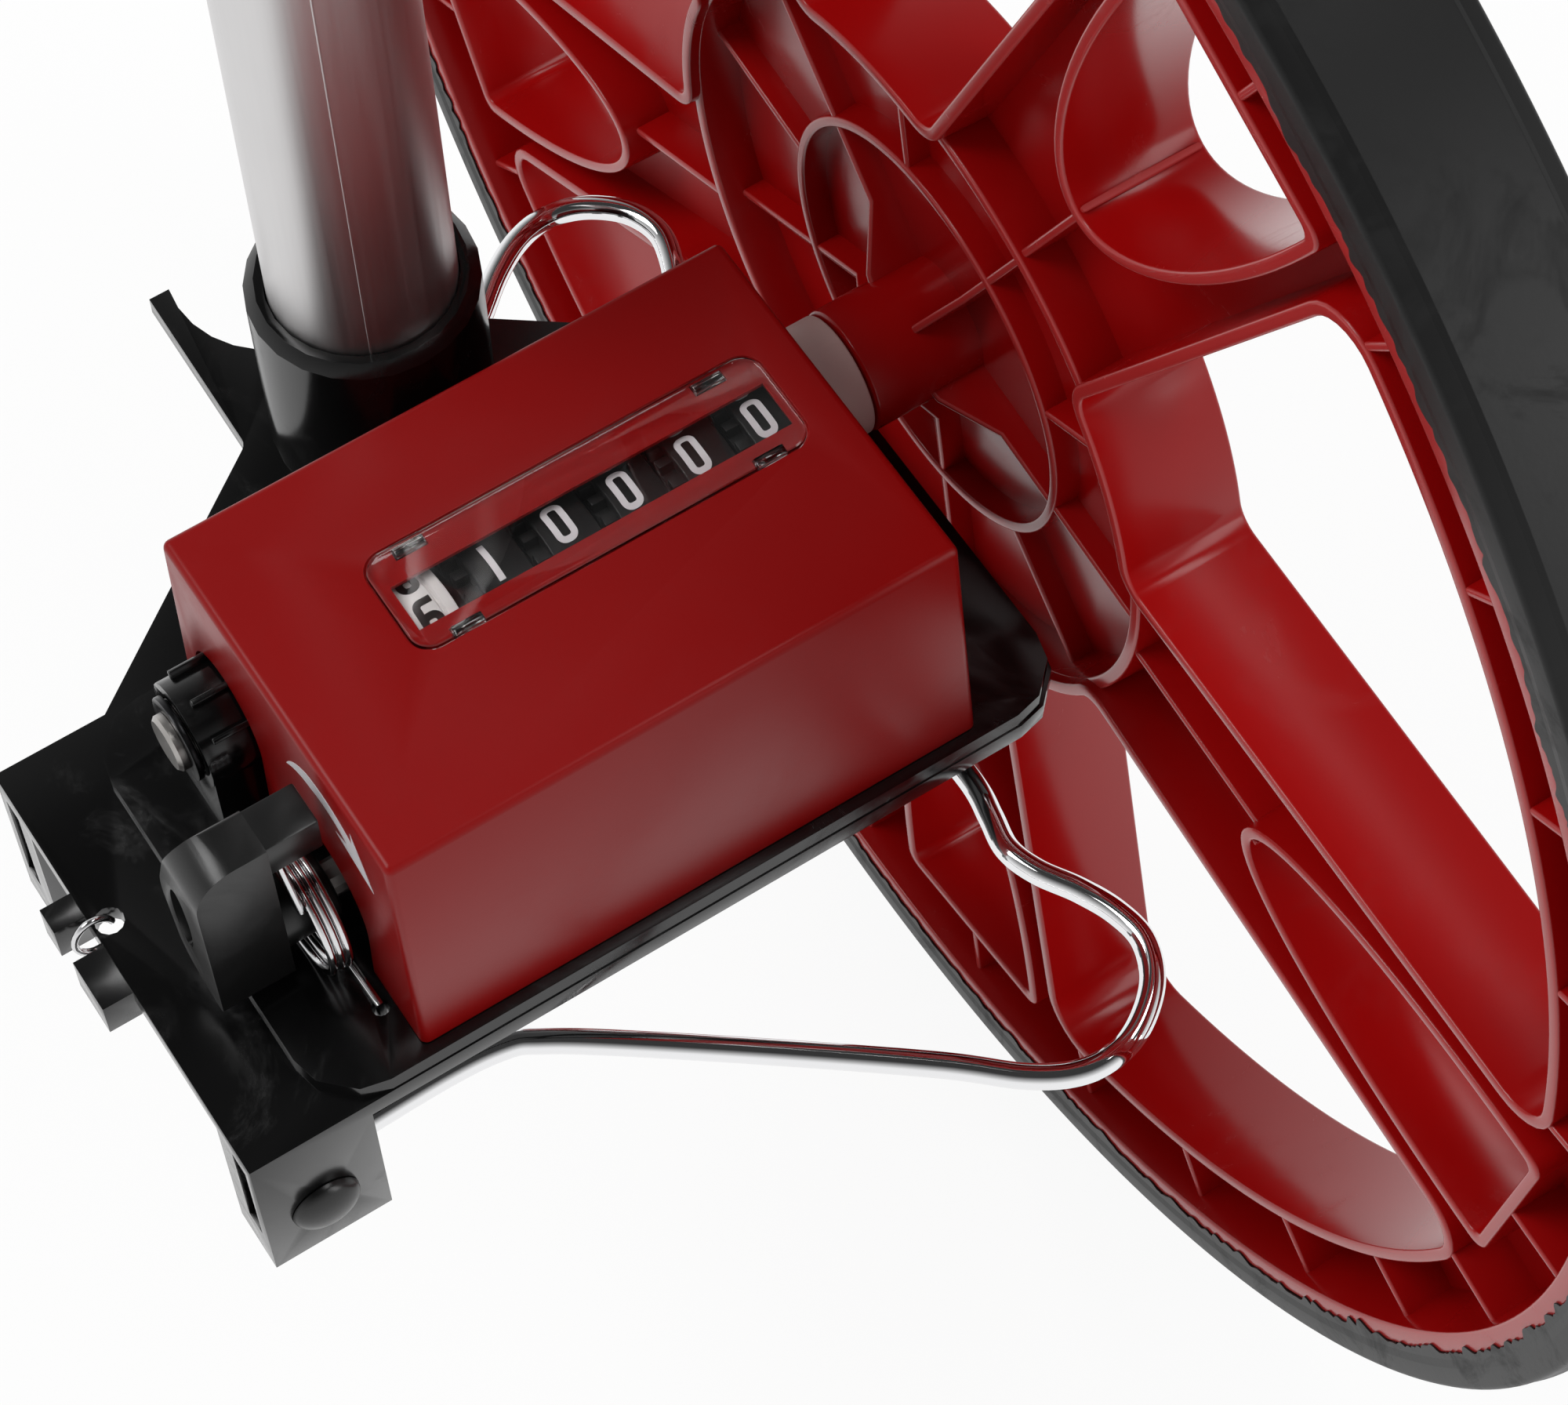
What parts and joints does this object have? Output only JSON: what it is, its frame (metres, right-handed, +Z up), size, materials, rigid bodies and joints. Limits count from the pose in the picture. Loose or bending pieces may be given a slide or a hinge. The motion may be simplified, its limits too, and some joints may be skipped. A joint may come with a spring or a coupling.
{
  "type": "measuring wheel",
  "caption": "Measuring wheel with a five-spoke wheel, a digit counter on its axle, a reset lever, a wire stand and a folding tube handle.",
  "frame": {"origin": "where the tyre meets the ground, on the wheel's middle plane", "axes": "+Z up along the handle tube, +X forward in the walking direction, +Y from the counter towards the wheel, along the axle"},
  "size_m": [0.3184, 0.1639, 1],
  "materials": {
    "red_plastic": "glossy moulded red plastic",
    "tyre_rubber": "smooth black rubber tread",
    "steel": "plain steel",
    "pale_plastic": "pale plastic",
    "gear_brass": "brass gear",
    "clear_window": "clear window",
    "drum_white": "white number drum with a black number",
    "drum_black": "black number drum with white numbers",
    "black_matt_plastic": "black plastic with a matt face",
    "black_gloss_plastic": "glossy moulded black plastic",
    "spring_wire": "bright spring wire",
    "chrome_wire": "chromed wire",
    "aluminium_tube": "satin drawn aluminium tube",
    "grip_foam": "black foam grip"
  },
  "bodies": {
    "base": {"bracket": "black_gloss_plastic", "axle_bush_left": "pale_plastic", "axle_bush_right": "pale_plastic", "counter_housing": "red_plastic", "counter_window": "clear_window", "counter_frame_left": "steel", "counter_frame_right": "steel", "drum_shaft": "steel", "pinion_shaft": "steel", "housing_screw_1": "steel", "housing_screw_2": "steel", "housing_screw_3": "steel", "housing_screw_4": "steel", "socket_pin": "steel", "lower_tube": "aluminium_tube", "fold_joint_lower": "black_matt_plastic", "fold_pin": "steel", "stand_rivet_front": "black_gloss_plastic", "stand_rivet_back": "black_gloss_plastic", "stand_spring": "spring_wire", "reset_spring": "spring_wire"},
    "wheel_body": {"wheel": "red_plastic", "tyre": "tyre_rubber", "axle": "steel", "hub_spacer": "pale_plastic", "axle_clip": "steel", "axle_washer": "steel", "axle_nut": "steel", "drive_gear": "gear_brass"},
    "tenths_body": {"drum_tenths": "drum_white", "input_gear": "gear_brass"},
    "units_body": {"drum_units": "drum_black"},
    "tens_body": {"drum_tens": "drum_black"},
    "hundreds_body": {"drum_hundreds": "drum_black"},
    "thousands_body": {"drum_thousands": "drum_black"},
    "ten_thousands_body": {"drum_ten_thousands": "drum_black"},
    "pinion_1_body": {"transfer_pinion_1": "drum_black"},
    "pinion_2_body": {"transfer_pinion_2": "drum_black"},
    "pinion_3_body": {"transfer_pinion_3": "drum_black"},
    "pinion_4_body": {"transfer_pinion_4": "drum_black"},
    "pinion_5_body": {"transfer_pinion_5": "drum_black"},
    "reset_body": {"reset_lever": "black_matt_plastic", "reset_shaft": "steel", "reset_fingers": "drum_black"},
    "stand_body": {"stand": "chrome_wire"},
    "handle_body": {"fold_joint_upper": "black_matt_plastic", "upper_tube": "aluminium_tube", "grip": "grip_foam", "end_cap": "black_matt_plastic"},
    "knob_body": {"fold_knob": "black_matt_plastic"}
  },
  "joints": [
    {"name": "wheel_spin", "type": "hinge", "parent": "base", "child": "wheel_body", "pos_m": [0, 0, 0.15915], "axis": [0, 1, 0], "continuous": true},
    {"name": "tenths_drum_turn", "type": "hinge", "parent": "base", "child": "tenths_body", "pos_m": [0.0124, -0.0858, 0.16935], "axis": [0, 1, 0], "continuous": true},
    {"name": "units_drum_turn", "type": "hinge", "parent": "base", "child": "units_body", "pos_m": [0.0124, -0.076, 0.16935], "axis": [0, 1, 0], "continuous": true},
    {"name": "tens_drum_turn", "type": "hinge", "parent": "base", "child": "tens_body", "pos_m": [0.0124, -0.0662, 0.16935], "axis": [0, 1, 0], "continuous": true},
    {"name": "hundreds_drum_turn", "type": "hinge", "parent": "base", "child": "hundreds_body", "pos_m": [0.0124, -0.0564, 0.16935], "axis": [0, 1, 0], "continuous": true},
    {"name": "thousands_drum_turn", "type": "hinge", "parent": "base", "child": "thousands_body", "pos_m": [0.0124, -0.0466, 0.16935], "axis": [0, 1, 0], "continuous": true},
    {"name": "ten_thousands_drum_turn", "type": "hinge", "parent": "base", "child": "ten_thousands_body", "pos_m": [0.0124, -0.0368, 0.16935], "axis": [0, 1, 0], "continuous": true},
    {"name": "pinion_1_turn", "type": "hinge", "parent": "base", "child": "pinion_1_body", "pos_m": [0.0249, -0.08055, 0.16935], "axis": [0, 1, 0], "continuous": true},
    {"name": "pinion_2_turn", "type": "hinge", "parent": "base", "child": "pinion_2_body", "pos_m": [0.0249, -0.07075, 0.16935], "axis": [0, 1, 0], "continuous": true},
    {"name": "pinion_3_turn", "type": "hinge", "parent": "base", "child": "pinion_3_body", "pos_m": [0.0249, -0.06095, 0.16935], "axis": [0, 1, 0], "continuous": true},
    {"name": "pinion_4_turn", "type": "hinge", "parent": "base", "child": "pinion_4_body", "pos_m": [0.0249, -0.05115, 0.16935], "axis": [0, 1, 0], "continuous": true},
    {"name": "pinion_5_turn", "type": "hinge", "parent": "base", "child": "pinion_5_body", "pos_m": [0.0249, -0.04135, 0.16935], "axis": [0, 1, 0], "continuous": true},
    {"name": "reset_push", "type": "hinge", "parent": "base", "child": "reset_body", "pos_m": [0.024, -0.1195, 0.15165], "axis": [0, 1, 0], "range_deg": [0, 45], "stiffness_Nm_per_rad": 0.05, "springref_deg": -17.19, "deforming": ["reset_spring"]},
    {"name": "stand_swing", "type": "hinge", "parent": "base", "child": "stand_body", "pos_m": [0.01435, -0.1288, 0.11955], "axis": [-1, 0, 0], "range_deg": [0, 105], "deforming": ["stand_spring"]},
    {"name": "handle_fold", "type": "hinge", "parent": "base", "child": "handle_body", "pos_m": [-0.05545, -0.066, 0.56], "axis": [0, -1, 0], "range_deg": [0, 180]},
    {"name": "knob_turn", "type": "hinge", "parent": "base", "child": "knob_body", "pos_m": [-0.05545, -0.081, 0.56], "axis": [0, 1, 0], "range_deg": [-180, 180]}
  ],
  "couplings": [
    {"joint": "tenths_drum_turn", "follows": "wheel_spin", "ratio": -1},
    {"joint": "units_drum_turn", "follows": "wheel_spin", "ratio": -0.1},
    {"joint": "tens_drum_turn", "follows": "wheel_spin", "ratio": -0.01},
    {"joint": "hundreds_drum_turn", "follows": "wheel_spin", "ratio": -0.001},
    {"joint": "thousands_drum_turn", "follows": "wheel_spin", "ratio": -0.0001},
    {"joint": "ten_thousands_drum_turn", "follows": "wheel_spin", "ratio": -0.00001},
    {"joint": "pinion_1_turn", "follows": "wheel_spin", "ratio": 0.3},
    {"joint": "pinion_2_turn", "follows": "wheel_spin", "ratio": 0.03},
    {"joint": "pinion_3_turn", "follows": "wheel_spin", "ratio": 0.003},
    {"joint": "pinion_4_turn", "follows": "wheel_spin", "ratio": 0.0003},
    {"joint": "pinion_5_turn", "follows": "wheel_spin", "ratio": 0.00003}
  ]
}
